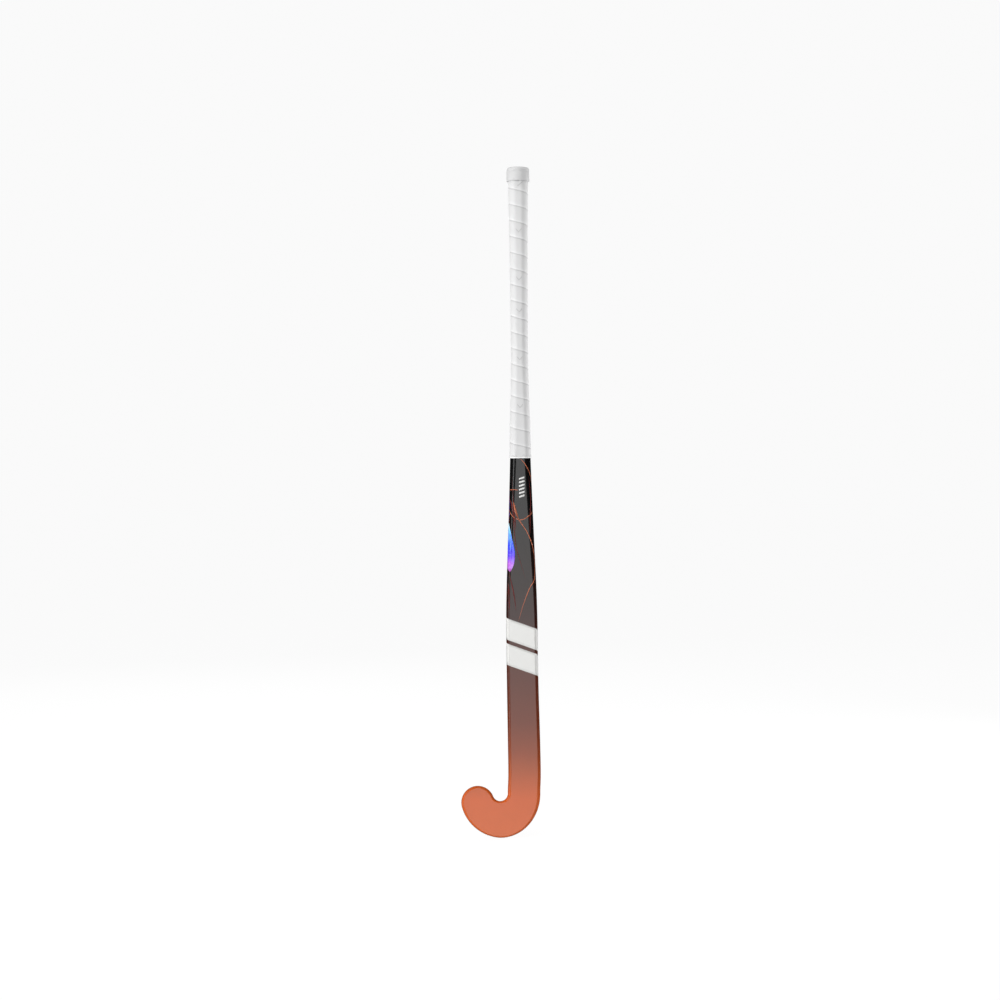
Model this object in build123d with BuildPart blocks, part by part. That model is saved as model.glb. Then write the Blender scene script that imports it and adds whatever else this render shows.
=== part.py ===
from build123d import *
from collections import namedtuple
from math import atan, cos, radians, sin
import os

# Field hockey stick: a moulded composite shaft and hooked head, a wrapped handle and an end cap.
# The stick stands on its head. +Z runs up to the butt, -X points to the toe and the flat playing
# face looks towards -Y. The origin is under the middle of the stick's outline. Millimetres.

# Overall
stick_length = 927.0  # sole of the head to the top of the end cap, along the playing face

# Bow: the playing face is hollow along its length, straight at both ends
bow_depth = 24.0  # deepest hollow under a straight edge laid from sole to butt
bow_height = 300.0  # distance of the deepest point from the sole
bow_arc = 260.0  # length of shaft over which the stick bends

# Head
crook_radius = 10.4  # inside of the hook
heel_width = 45.2  # width of the stick where the hook begins
sole_width = 50.2  # at the lowest point
toe_width = 46.0  # where the rounded toe begins
hook_turn = 158.5  # degrees that the hook turns before the rounded toe
heel_flat, sole_flat, toe_flat = 36.2, 45.0, 39.0  # width of the flat playing face
heel_depth, sole_depth, toe_depth = 20.5, 20.5, 19.0  # playing face to back
head_corner = 6.5  # depth of the rounded front edges
head_wall = 3.6

# Shaft and handle, bare: width, width of the flat face, depth, depth of the rounded front edges
heel_top = 85.0  # distance of the heel's upper end from the sole
heel_offset = 1.6  # how far the stick's middle stands out there, away from the toe
hook_offset = 0.65  # the same where the hook begins
shaft_width, shaft_flat, shaft_depth, shaft_corner = 43.8, 34.8, 21.5, 7.5
full_width_height = 300.0  # where the shaft reaches its full width
grip_end_width, grip_end_flat, grip_end_depth, grip_end_corner = 28.7, 10.6, 25.0, 11.5
neck_width, neck_flat, neck_depth, neck_corner = 21.9, 4.4, 25.2, 12.4
neck_below_butt = 240.0
butt_width, butt_flat, butt_depth, butt_corner = 26.2, 5.0, 25.8, 12.8
shaft_wall = 2.3

# Inside
plug_length = 60.0
inner_tube_wall = 0.9
core_height = 140.0  # top of the head's core, and the foot of the inner tubes

# Handle coverings
grip_length = 402.0  # lower end of the grip to the top of the end cap
grip_adhesive_thickness = 0.25
grip_wrap_thickness = 0.95
finishing_ring_height = 2.2
finishing_ring_thickness = 1.35
cap_wall = 2.7  # rubber round the widest part of the butt
cap_crown = 5.5  # rubber above the butt
cap_skirt = 13.5  # rubber below the butt
cap_top_fillet = 3.5
cap_rim_chamfer = 0.8
cap_dish_radius = 9.5
cap_dish_depth = 0.8

# Fits
bond_line = 0.05  # glue between bonded pieces
end_gap = 0.1  # between the ends of pieces in line
lapping_stock = 0.15  # laminate ground off the playing face of the head
face_margin = 20.0  # straight shaft left between the flat face's upper end and the bow
overcut = 1.0  # how far a hollow is cut past an open end

# Worked out
butt = stick_length - cap_crown
neck = stick_length - neck_below_butt
grip_end = stick_length - grip_length
plug_foot = butt - plug_length
cap_foot = butt - cap_skirt
cap_radius = max(butt_width, butt_depth) / 2 + cap_wall
crook_height = crook_radius + sole_width
crook_x = hook_offset - heel_width / 2 - crook_radius

# The bow is two straight legs joined by an arc: this is how far the legs' corner stands back
legs = 1 / bow_height + 1 / (stick_length - bow_height)
corner_depth = bow_depth / (1 - legs * bow_arc / 8)
head_lean = atan(corner_depth / bow_height)
handle_lean = atan(corner_depth / (stick_length - bow_height))
bend_start = bow_height - bow_arc / 2
bend_end = bow_height + bow_arc / 2
face_end = bend_start - face_margin  # distance of the flat face's upper end from the sole
bend_radius = bow_arc / (head_lean + handle_lean)

# Place of the shaft's middle over the origin
toe_reach = crook_radius + toe_width / 2
toe_left = crook_x + toe_reach * cos(radians(hook_turn)) - toe_width / 2
heel_right = heel_offset + heel_width / 2
origin_x = -(toe_left + heel_right) / 2
origin_y = -(bow_depth + shaft_depth - cap_radius + butt_depth / 2) / 2
origin_z = head_corner * sin(head_lean)

Size = namedtuple("Size", "width flat depth corner wall offset stock")
Section = namedtuple("Section", "plane size")


def between(start, end, share):
    """The value that lies a share of the way from start to end."""
    return start + (end - start) * share


def along_stick(distance, x=0.0):
    """Plane across the stick, its origin on the playing face and its normal towards the head."""
    lean = head_lean
    run = min(distance, bend_start)
    y = run * sin(lean)
    z = run * cos(lean)
    if distance > bend_start:
        bend = min(distance, bend_end) - bend_start
        lean = head_lean - bend / bend_radius
        y += bend_radius * (cos(lean) - cos(head_lean))
        z += bend_radius * (sin(head_lean) - sin(lean))
    if distance > bend_end:
        y += (distance - bend_end) * sin(lean)
        z += (distance - bend_end) * cos(lean)
    origin = (origin_x + x, origin_y + y, origin_z + z)
    return Plane(origin, x_dir=(-1, 0, 0), z_dir=(0, -sin(lean), -cos(lean)))


def around_hook(turn, width):
    """Plane across the hook after a turn in degrees, with +X towards the inside of the hook."""
    angle = radians(turn)
    reach = crook_radius + width / 2
    up = crook_height - reach * sin(angle)
    origin = along_stick(up, crook_x + reach * cos(angle)).origin
    inwards = (-cos(angle), sin(angle) * sin(head_lean), sin(angle) * cos(head_lean))
    onwards = (-sin(angle), -cos(angle) * sin(head_lean), -cos(angle) * cos(head_lean))
    return Plane(origin, x_dir=inwards, z_dir=onwards)


def blend(start, end, share):
    """The size that lies a share of the way from one size to another."""
    return Size(*(between(a, b, share) for a, b in zip(start, end)))


# Sizes of the stick where they are set, from the butt to the toe
butt_size = Size(butt_width, butt_flat, butt_depth, butt_corner, shaft_wall, 0, 0)
neck_size = Size(neck_width, neck_flat, neck_depth, neck_corner, shaft_wall, 0, 0)
grip_end_size = Size(grip_end_width, grip_end_flat, grip_end_depth, grip_end_corner, shaft_wall, 0, 0)
shaft_size = Size(shaft_width, shaft_flat, shaft_depth, shaft_corner, shaft_wall, 0, 0)
heel_size = Size(heel_width, heel_flat, heel_depth, head_corner, head_wall, heel_offset, lapping_stock)
sole_size = Size(sole_width, sole_flat, sole_depth, head_corner, head_wall, 0, lapping_stock)
toe_size = Size(toe_width, toe_flat, toe_depth, head_corner, head_wall, 0, lapping_stock)

# The shaft is four spans. Each lists its sections by their place along the span, as a share of it,
# and by how much of the change between the span's two sizes has happened there.
handle_steps = [(0, 0), (0.22, 0.34), (0.45, 0.67), (0.7, 0.87)]
swell_steps = [(0, 0), (0.2, 0.05), (0.45, 0.28), (0.73, 0.69)]
taper_steps = [(0, 0), (0.3, 0.3), (0.6, 0.64), (0.8, 0.87)]
shaft_steps = [(0, 0), (0.25, 0.05), (0.5, 0.35), (0.78, 0.85), (1, 1)]
spans = [
    (butt, butt_size, neck, neck_size, handle_steps),
    (neck, neck_size, grip_end, grip_end_size, swell_steps),
    (grip_end, grip_end_size, full_width_height, shaft_size, taper_steps),
    (full_width_height, shaft_size, heel_top, heel_size, shaft_steps),
]
shaft_sections = []
for upper, upper_size, lower, lower_size, steps in spans:
    for place, change in steps:
        size = blend(upper_size, lower_size, change)
        shaft_sections.append(Section(along_stick(between(upper, lower, place), size.offset), size))

# The hook widens from heel to sole over a quarter turn, then narrows evenly to the toe
heel_steps, toe_steps = 6, 5
hook_sections = []
for step in range(heel_steps):
    turn = 90 * step / heel_steps
    size = blend(heel_size, sole_size, sin(radians(turn)) ** 2)
    hook_sections.append(Section(around_hook(turn, size.width), size))
for step in range(toe_steps + 1):
    turn = between(90, hook_turn, step / toe_steps)
    size = blend(sole_size, toe_size, step / toe_steps)
    hook_sections.append(Section(around_hook(turn, size.width), size))
toe_section = hook_sections[-1]
stick_sections = shaft_sections + hook_sections


def section_sizes(section, inset, inside):
    """Half width, half flat, front, back and corner of a section drawn in from the surface."""
    size = section.size
    if inside:
        inset = inset + size.wall
    half = size.width / 2 - inset
    flat = size.flat * half / size.width
    return half, flat, inset - size.stock, size.depth - inset, size.corner


def d_face(section, inset=0.0, inside=False):
    """D-shaped face: flat front, two quarter-ellipse front edges and a half-ellipse back."""
    half, flat, front, back, corner = section_sizes(section, inset, inside)
    with BuildSketch(section.plane) as face:
        with BuildLine():
            Line((-flat, front), (flat, front))
            EllipticalCenterArc((flat, corner), half - flat, corner - front, 270, arc_size=90)
            EllipticalCenterArc((0, corner), half, back - corner, 0, arc_size=90)
            EllipticalCenterArc((0, corner), half, back - corner, 90, arc_size=90)
            EllipticalCenterArc((-flat, corner), half - flat, corner - front, 180, arc_size=90)
        make_face()
    return face.sketch


def half_d_face(section, inset=0.0, inside=False):
    """Half of a D-shaped face, on the inner side of the hook, closed along its middle."""
    half, flat, front, back, corner = section_sizes(section, inset, inside)
    with BuildSketch(section.plane) as face:
        with BuildLine():
            Line((0, front), (flat, front))
            EllipticalCenterArc((flat, corner), half - flat, corner - front, 270, arc_size=90)
            EllipticalCenterArc((0, corner), half, back - corner, 0, arc_size=90)
            Line((0, back), (0, front))
        make_face()
    return face.sketch


def shaft_form(inset, inside, upper, lower):
    """The shaft at an inset from its surface, between two distances from the sole."""
    with BuildPart() as form:
        loft([d_face(section, inset, inside) for section in stick_sections])
        if upper < butt:
            split(bisect_by=along_stick(upper), keep=Keep.TOP)
        split(bisect_by=along_stick(lower), keep=Keep.BOTTOM)
    return form.part


def stick_form(inset, inside):
    """The whole stick at an inset from its surface, from the butt to the end of the toe."""
    toe_axis = Axis(toe_section.plane.origin, -toe_section.plane.y_dir)
    with BuildPart() as form:
        loft([d_face(section, inset, inside) for section in stick_sections])
        revolve(half_d_face(toe_section, inset, inside), axis=toe_axis, revolution_arc=180)
    return form.part


def half_chamber(side, inset, middle_gap, upper, lower):
    """One side of the hollow shaft, -1 for the toe side or 1 for the heel side."""
    with BuildPart() as form:
        add(shaft_form(inset, True, upper, lower))
        middle = Plane.YZ.offset(origin_x + side * middle_gap)
        split(bisect_by=middle, keep=Keep.TOP if side > 0 else Keep.BOTTOM)
    return form.part


def sleeve(inner, outer, upper, lower):
    """A sleeve round the handle, between two distances out from the bare shaft."""
    with BuildPart() as form:
        add(shaft_form(-outer, False, upper, lower))
        add(shaft_form(-inner, False, upper + overcut, lower - overcut), mode=Mode.SUBTRACT)
    return form.part


os.makedirs("parts", exist_ok=True)

# Outer shell: the laminate, closed round the toe and open at the butt, its head ground flat in front
with BuildPart() as outer_shell:
    add(stick_form(0.0, False))
    add(stick_form(0.0, True), mode=Mode.SUBTRACT)
    with Locations(along_stick(face_end)):
        front = (Align.CENTER, Align.MAX, Align.MIN)
        Box(4 * toe_reach, head_corner, face_end + head_corner, align=front, mode=Mode.SUBTRACT)
outer_shell.part.label = "outer_shell"
export_step(outer_shell.part, "parts/outer_shell.step")

# Head core: moulded foam that fills the hook
with BuildPart() as head_core:
    add(stick_form(bond_line, True))
    split(bisect_by=along_stick(core_height - end_gap), keep=Keep.TOP)
head_core.part.label = "head_core"
export_step(head_core.part, "parts/head_core.step")

# Inner tubes: two laminate tubes side by side, whose touching walls make the shaft's middle rib,
# and the foam core in each
tube_top = plug_foot - end_gap
core_inset = bond_line + inner_tube_wall + bond_line
for side_name, side in (("toe_side", -1), ("heel_side", 1)):
    with BuildPart() as inner_tube:
        add(half_chamber(side, bond_line, bond_line / 2, tube_top, core_height))
        hollow_gap = bond_line / 2 + inner_tube_wall
        hollow = half_chamber(
            side, bond_line + inner_tube_wall, hollow_gap, tube_top + overcut, core_height - overcut
        )
        add(hollow, mode=Mode.SUBTRACT)
    inner_tube.part.label = f"{side_name}_inner_tube"
    export_step(inner_tube.part, f"parts/{side_name}_inner_tube.step")

    with BuildPart() as foam_core:
        add(half_chamber(side, core_inset, core_inset - bond_line / 2, tube_top, core_height))
    foam_core.part.label = f"{side_name}_foam_core"
    export_step(foam_core.part, f"parts/{side_name}_foam_core.step")

# Handle plug: closes the hollow shaft at the butt
with BuildPart() as handle_plug:
    add(shaft_form(bond_line, True, butt, plug_foot))
handle_plug.part.label = "handle_plug"
export_step(handle_plug.part, "parts/handle_plug.step")

# Finishing ring: holds down the lower end of the grip
ring_top = grip_end + finishing_ring_height
with BuildPart() as finishing_ring:
    add(sleeve(bond_line, finishing_ring_thickness, ring_top, grip_end))
finishing_ring.part.label = "finishing_ring"
export_step(finishing_ring.part, "parts/finishing_ring.step")

# Grip adhesive: the double-sided tape under the grip
adhesive_outside = bond_line + grip_adhesive_thickness
covering_top = cap_foot - end_gap
covering_foot = ring_top + end_gap
with BuildPart() as grip_adhesive:
    add(sleeve(bond_line, adhesive_outside, covering_top, covering_foot))
grip_adhesive.part.label = "grip_adhesive"
export_step(grip_adhesive.part, "parts/grip_adhesive.step")

# Grip wrap: the cushioned tape that the hands hold
wrap_inside = adhesive_outside + bond_line
with BuildPart() as grip_wrap:
    add(sleeve(wrap_inside, wrap_inside + grip_wrap_thickness, covering_top, covering_foot))
grip_wrap.part.label = "grip_wrap"
export_step(grip_wrap.part, "parts/grip_wrap.step")

# End cap: a round rubber cup over the butt
butt_plane = along_stick(butt)
cap_centre = butt_plane.origin + butt_plane.y_dir * butt_depth / 2
cap_plane = Plane(cap_centre, x_dir=(1, 0, 0), z_dir=-butt_plane.y_dir)
cap_axis = Axis(cap_centre, cap_plane.y_dir)
with BuildPart() as end_cap:
    with BuildSketch(cap_plane):
        with BuildLine():
            Polyline(
                (0, -cap_skirt),
                (cap_radius, -cap_skirt),
                (cap_radius, cap_crown),
                (cap_dish_radius + cap_dish_depth, cap_crown),
                (cap_dish_radius, cap_crown - cap_dish_depth),
                (0, cap_crown - cap_dish_depth),
                close=True,
            )
        make_face()
    revolve(axis=cap_axis)
    rims = end_cap.edges().filter_by(GeomType.CIRCLE).group_by(SortBy.RADIUS)[-1].sort_by(cap_axis)
    fillet(rims[-1], cap_top_fillet)
    rims = end_cap.edges().filter_by(GeomType.CIRCLE).group_by(SortBy.RADIUS)[-1].sort_by(cap_axis)
    chamfer(rims[0], cap_rim_chamfer)
    add(shaft_form(-bond_line, False, butt, cap_foot - overcut), mode=Mode.SUBTRACT)
end_cap.part.label = "end_cap"
export_step(end_cap.part, "parts/end_cap.step")
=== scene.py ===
"""Field hockey stick: the visible surfaces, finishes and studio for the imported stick."""

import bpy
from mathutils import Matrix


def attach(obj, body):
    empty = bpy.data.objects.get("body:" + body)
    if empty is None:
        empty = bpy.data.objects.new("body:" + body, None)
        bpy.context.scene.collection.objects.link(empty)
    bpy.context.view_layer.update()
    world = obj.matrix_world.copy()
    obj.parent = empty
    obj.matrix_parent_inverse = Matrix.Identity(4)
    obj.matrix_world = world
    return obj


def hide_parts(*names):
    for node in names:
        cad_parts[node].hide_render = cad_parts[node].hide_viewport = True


bl_info = {
    "name": "Field hockey stick",
    "version": (1, 0, 0),
    "blender": (4, 5, 0),
    "location": "3D View > Sidebar > Hockey stick",
    "description": "Builds the visible surfaces and finishes of a field hockey stick",
    "category": "Add Mesh",
}

from math import atan, cos, pi, radians, sin

import bmesh
import bpy
from bpy.props import FloatProperty, FloatVectorProperty, IntProperty, PointerProperty
from mathutils import Matrix, Vector

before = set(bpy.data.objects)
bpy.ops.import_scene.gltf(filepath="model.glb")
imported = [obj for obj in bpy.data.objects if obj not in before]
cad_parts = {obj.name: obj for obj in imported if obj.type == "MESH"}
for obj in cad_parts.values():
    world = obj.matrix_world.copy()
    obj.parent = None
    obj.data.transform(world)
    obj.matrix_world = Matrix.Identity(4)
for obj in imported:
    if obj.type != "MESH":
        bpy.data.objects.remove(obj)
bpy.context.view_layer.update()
MM = 0.001


def length(name, default, description):
    """A length property, given in millimetres and held in metres."""
    return FloatProperty(name=name, description=description, default=default * MM, unit="LENGTH", precision=5)


def colour(name, default, description):
    """A colour property with alpha."""
    return FloatVectorProperty(
        name=name, description=description, default=(*default, 1.0), size=4, min=0.0, max=1.0, subtype="COLOR"
    )


# ---------------------------------------------------------------- Properties


class StickShape(bpy.types.PropertyGroup):
    """Sizes of the moulded stick. They repeat the design's own values."""

    total: length("Length", 927.0, "Sole of the head to the top of the end cap")
    bow_depth: length("Bow depth", 24.0, "Deepest hollow of the playing face")
    bow_height: length("Bow height", 300.0, "Distance of the deepest point from the sole")
    bow_arc: length("Bow arc", 260.0, "Length of shaft over which the stick bends")
    crook_radius: length("Crook radius", 10.4, "Inside of the hook")
    heel_width: length("Heel width", 45.2, "Width where the hook begins")
    sole_width: length("Sole width", 50.2, "Width at the lowest point")
    toe_width: length("Toe width", 46.0, "Width where the rounded toe begins")
    hook_turn: FloatProperty(
        name="Hook turn", description="How far the hook turns before the toe", default=radians(158.5),
        subtype="ANGLE",
    )
    heel_top: length("Heel top", 85.0, "Distance of the heel's upper end from the sole")
    heel_offset: length("Heel offset", 1.6, "How far the heel stands out from the shaft")
    hook_offset: length("Hook offset", 0.65, "How far the hook's start stands out from the shaft")
    skin: length("Skin", 0.06, "How far the painted surface lies inside the moulding's outline")
    head_corner: length("Front edge depth", 6.5, "Depth of the head's rounded front edges")
    full_width_height: length("Full width height", 300.0, "Where the shaft reaches its full width")
    cap_crown: length("Cap crown", 5.5, "Rubber above the butt")
    cap_skirt: length("Cap skirt", 13.5, "Rubber below the butt")
    cap_radius: length("Cap radius", 15.8, "Outside of the end cap")
    neck_below_butt: length("Neck", 240.0, "Distance of the thinnest part from the top of the stick")
    grip_length: length("Grip length", 402.0, "Lower end of the grip to the top of the end cap")
    ring_height: length("Ring height", 2.2, "Height of the finishing ring")
    ring_thickness: length("Ring thickness", 1.35, "How far the finishing ring stands out")


class StickFinish(bpy.types.PropertyGroup):
    """Colours and surface values of the finishes."""

    black: colour("Black", (0.0016, 0.0015, 0.0016), "Paint of the upper shaft")
    orange: colour("Orange", (0.575, 0.106, 0.013), "Paint of the head")
    transfer_white: colour("White transfer", (0.64, 0.64, 0.625), "Bars and dashes")
    transfer_copper: colour("Copper transfer", (0.58, 0.17, 0.085), "Pinstripes")
    transfer_faint: colour("Faint transfer", (0.15, 0.016, 0.014), "Pinstripes in the background")
    grip_white: colour("Grip", (0.545, 0.545, 0.547), "Cushioned tape")
    cap_white: colour("End cap", (0.50, 0.50, 0.502), "Rubber of the end cap")
    ring_white: colour("Ring", (0.72, 0.72, 0.72), "Finishing ring")
    lacquer_roughness: FloatProperty(
        name="Lacquer roughness", description="Roughness of the clear lacquer", default=0.05, subtype="FACTOR"
    )


class Transfers(bpy.types.PropertyGroup):
    """Sizes of the printed transfers."""

    thickness: length("Thickness", 0.04, "Thickness of the printed film")
    bar_height: length("Bar height", 29.8, "Height of each white bar along the shaft")
    bar_gap: length("Bar gap", 5.3, "Gap between two bars")
    bar_slant: FloatProperty(name="Bar slant", description="Fall of the bars towards the heel side",
                             default=0.362)
    bar_count: IntProperty(name="Bars", description="Number of white bars", default=2, min=1)
    bars_top: length("Top of the bars", 294.8, "Distance of the upper bar's top on the middle of the face")
    stripe_width: length("Stripe width", 1.05, "Width of a pinstripe")


class GripWinding(bpy.types.PropertyGroup):
    """How the grip tape is wound."""

    pitch: length("Pitch", 22.0, "Distance from one turn to the next")
    ridge: length("Ridge", 0.37, "Height of the raised edge of the tape")
    groove: length("Groove", 0.15, "Depth of the line where two turns meet")
    outside: length("Outside", 0.90, "How far the tape's face stands out from the bare shaft")
    wall: length("Wall", 0.30, "Thickness of the modelled tape")
    first_ridge: length("First ridge", 894.1, "Height of a ridge on the middle of the front")
    mark_spacing: length("Mark spacing", 61.3, "Distance between the tape's pressed marks")
    columns: IntProperty(name="Columns", description="Faces round the handle", default=96, min=24)


# ---------------------------------------------------------------- Shape of the stick


def between(start, end, share):
    """The value that lies a share of the way from start to end."""
    return start + (end - start) * share


class Stick:
    """Centre line and sections of the stick, worked out from its sizes."""

    # Width, flat face, depth and front edge depth in millimetres
    BUTT = (26.2, 5.0, 25.8, 12.8)
    NECK = (21.9, 4.4, 25.2, 12.4)
    GRIP_END = (28.7, 10.6, 25.0, 11.5)
    SHAFT = (43.8, 34.8, 21.5, 7.5)
    HEEL_FLAT, SOLE_FLAT, TOE_FLAT = 36.2, 45.0, 39.0
    HEEL_DEPTH, TOE_DEPTH = 20.5, 19.0

    def __init__(self, shape):
        self.shape = shape
        self.butt = shape.total - shape.cap_crown
        self.grip_end = shape.total - shape.grip_length
        self.crook_height = shape.crook_radius + shape.sole_width
        self.crook_x = shape.hook_offset - shape.heel_width / 2 - shape.crook_radius
        self._bow()
        self._origin()
        self.rows = self._rows()

    def _bow(self):
        """Angles and radius of the bow: two straight legs joined by an arc."""
        s = self.shape
        legs = 1 / s.bow_height + 1 / (s.total - s.bow_height)
        corner_depth = s.bow_depth / (1 - legs * s.bow_arc / 8)
        self.head_lean = atan(corner_depth / s.bow_height)
        self.handle_lean = atan(corner_depth / (s.total - s.bow_height))
        self.bend_start = s.bow_height - s.bow_arc / 2
        self.bend_end = s.bow_height + s.bow_arc / 2
        self.bend_radius = s.bow_arc / (self.head_lean + self.handle_lean)

    def _origin(self):
        """The shaft's middle, at the sole, over the row's origin."""
        s = self.shape
        toe_reach = s.crook_radius + s.toe_width / 2
        toe_left = self.crook_x + toe_reach * cos(s.hook_turn) - s.toe_width / 2
        heel_right = s.heel_offset + s.heel_width / 2
        x = -(toe_left + heel_right) / 2
        y = -(s.bow_depth + self.SHAFT[2] * MM - s.cap_radius + self.BUTT[2] * MM / 2) / 2
        self.origin = Vector((x, y, s.head_corner * sin(self.head_lean)))

    def _rows(self):
        """Distance, width, flat, depth, edge depth and offset of each set section, from the sole up."""
        s = self.shape
        plain = [tuple(v * MM for v in sizes) + (0.0,)
                 for sizes in (self.BUTT, self.NECK, self.GRIP_END, self.SHAFT)]
        heel = (s.heel_width, self.HEEL_FLAT * MM, self.HEEL_DEPTH * MM, s.head_corner)
        butt, neck, grip_end, shaft = plain
        spans = [
            (self.butt, butt, s.total - s.neck_below_butt, neck,
             [(0, 0), (0.22, 0.34), (0.45, 0.67), (0.7, 0.87)]),
            (s.total - s.neck_below_butt, neck, self.grip_end, grip_end,
             [(0, 0), (0.2, 0.05), (0.45, 0.28), (0.73, 0.69)]),
            (self.grip_end, grip_end, s.full_width_height, shaft,
             [(0, 0), (0.3, 0.3), (0.6, 0.64), (0.8, 0.87)]),
            (s.full_width_height, shaft, s.heel_top, heel + (s.heel_offset,),
             [(0, 0), (0.25, 0.05), (0.5, 0.35), (0.78, 0.85), (1, 1)]),
        ]
        rows = [(self.crook_height, *heel, s.hook_offset)]
        for upper, upper_size, lower, lower_size, steps in reversed(spans):
            for place, change in reversed(steps):
                size = (between(a, b, change) for a, b in zip(upper_size, lower_size))
                rows.append((between(upper, lower, place), *size))
        return rows

    def size_at(self, distance):
        """Width, flat, depth, edge depth and offset at a distance, on a smooth curve through the rows."""
        rows = self.rows
        last = len(rows) - 2
        k = next((n for n in range(last) if distance < rows[n + 1][0]), last)
        below, above = rows[k], rows[k + 1]
        span = above[0] - below[0]
        t = min(max((distance - below[0]) / span, 0.0), 1.0)
        before = rows[k - 1] if k > 0 else None
        after = rows[k + 2] if k < last else None
        sizes = []
        for n in range(1, 6):
            start = (above[n] - before[n]) / (above[0] - before[0]) * span if before else 0.0
            end = (after[n] - below[n]) / (after[0] - below[0]) * span if after else 0.0
            rise = above[n] - below[n]
            sizes.append(below[n]
                         + t * (start + t * (3 * rise - 2 * start - end + t * (start + end - 2 * rise))))
        return sizes

    def along(self, distance, x=0.0):
        """Place across the stick: X to the heel side, Y to the back, Z up, origin on the playing face."""
        lean = self.head_lean
        run = min(distance, self.bend_start)
        y = run * sin(lean)
        z = run * cos(lean)
        if distance > self.bend_start:
            bend = min(distance, self.bend_end) - self.bend_start
            lean = self.head_lean - bend / self.bend_radius
            y += self.bend_radius * (cos(lean) - cos(self.head_lean))
            z += self.bend_radius * (sin(self.head_lean) - sin(lean))
        if distance > self.bend_end:
            y += (distance - self.bend_end) * sin(lean)
            z += (distance - self.bend_end) * cos(lean)
        place = Matrix.Rotation(-lean, 4, "X")
        place.translation = self.origin + Vector((x, y, z))
        return place

    def hook(self, turn):
        """Place and sizes across the hook after a turn: X outwards from the crook, Z back up the stick."""
        s = self.shape
        if turn < pi / 2:
            change = sin(turn) ** 2
            width = between(s.heel_width, s.sole_width, change)
            flat = between(self.HEEL_FLAT, self.SOLE_FLAT, change) * MM
            depth = self.HEEL_DEPTH * MM
        else:
            change = (turn - pi / 2) / (s.hook_turn - pi / 2)
            width = between(s.sole_width, s.toe_width, change)
            flat = between(self.SOLE_FLAT, self.TOE_FLAT, change) * MM
            depth = between(self.HEEL_DEPTH, self.TOE_DEPTH, change) * MM
        reach = s.crook_radius + width / 2
        place = self.along(0.0) @ Matrix.Translation(
            (self.crook_x + reach * cos(turn), 0.0, self.crook_height - reach * sin(turn))
        )
        return place @ Matrix.Rotation(turn, 4, "Y"), (width, flat, depth, s.head_corner)


# Where a half section's points lie: shares of the flat, and angles of the front edge and of the back
FLAT_STEPS = (0.0, 0.3, 0.6, 0.85, 0.96, 1.0)
EDGE_ANGLES = tuple(pi / 2 * (n / 12) ** 1.3 for n in range(1, 13))
BACK_ANGLES = tuple(pi / 2 * n / 20 for n in range(1, 21))


def half_section(size, lift=0.0):
    """Points of a D-shaped half section, from the middle of the front to the middle of the back."""
    width, flat, depth, corner = size[:4]
    half = width / 2 + lift
    edge = flat * half / width
    points = [(edge * share, -lift) for share in FLAT_STEPS]
    points += [
        (edge + (half - edge) * sin(angle), corner - (corner + lift) * cos(angle)) for angle in EDGE_ANGLES
    ]
    points += [
        (half * cos(angle), corner + (depth + lift - corner) * sin(angle)) for angle in BACK_ANGLES
    ]
    return points


def whole_section(size, lift=0.0):
    """Points right round a section, closed, from the middle of the back over the heel side's mirror."""
    half = half_section(size, lift)
    return [(-x, y) for x, y in reversed(half)] + half[1:]


def point_on(section, run):
    """The point a distance along the section's surface from the middle of the front, either way."""
    side = -1 if run < 0 else 1
    left = abs(run)
    for (x1, y1), (x2, y2) in zip(section, section[1:]):
        step = ((x2 - x1) ** 2 + (y2 - y1) ** 2) ** 0.5
        if left <= step:
            share = left / step
            return side * between(x1, x2, share), between(y1, y2, share)
        left -= step
    return 0.0, section[-1][1]


def half_way_round(section):
    """Length of a half section's outline."""
    return sum(((x2 - x1) ** 2 + (y2 - y1) ** 2) ** 0.5 for (x1, y1), (x2, y2) in zip(section, section[1:]))


def run_to(size, share):
    """The run along the surface to a share of the half width. Past 1 it goes on round the back."""
    section = half_section(size)
    reach = min(abs(share), 1.0) * size[0] / 2 * 0.9999
    run = 0.0
    for (x1, y1), (x2, y2) in zip(section, section[1:]):
        step = ((x2 - x1) ** 2 + (y2 - y1) ** 2) ** 0.5
        if x2 >= reach:
            run += step * (reach - x1) / (x2 - x1)
            break
        run += step
    run += max(abs(share) - 1.0, 0.0) * size[0] / 2
    return run if share > 0 else -run


def on_shaft(stick, run, distance, lift):
    """A point on the shaft's surface: a run round from the middle of the front, a distance up."""
    size = stick.size_at(distance)
    x, y = point_on(half_section(size, lift), run)
    return stick.along(distance, size[4]) @ Vector((x, y, 0.0))


def on_surface(stick, path):
    """Runs and distances of places given as shares of the half width and millimetres."""
    return [(run_to(stick.size_at(distance * MM), share), distance * MM) for share, distance in path]


def smooth_path(points, count):
    """Points along a smooth curve through the given ones, all of their values together."""
    made = []
    last = len(points) - 1
    for n in range(count + 1):
        place = n / count * last
        k = min(int(place), last - 1)
        t = place - k
        a, b, c, d = (points[min(max(k + m, 0), last)] for m in (-1, 0, 1, 2))
        made.append(tuple(
            0.5 * (2 * q + t * (r - p + t * (2 * p - 5 * q + 4 * r - w + t * (3 * q - p - 3 * r + w))))
            for p, q, r, w in zip(a, b, c, d)
        ))
    return made


# ---------------------------------------------------------------- Mesh helpers


def grid(columns, rows, place, relief=None):
    """A bmesh grid whose point in column i and row j stands where place(i, j) says."""
    bm = bmesh.new()
    bmesh.ops.create_grid(bm, x_segments=columns, y_segments=rows, size=0.5)
    layer = bm.verts.layers.float.new("relief") if relief else None
    for vert in bm.verts:
        i = round((vert.co.x + 0.5) * columns)
        j = round((vert.co.y + 0.5) * rows)
        vert.co = place(i, j)
        if layer:
            vert[layer] = relief[j]
    return bm


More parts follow.
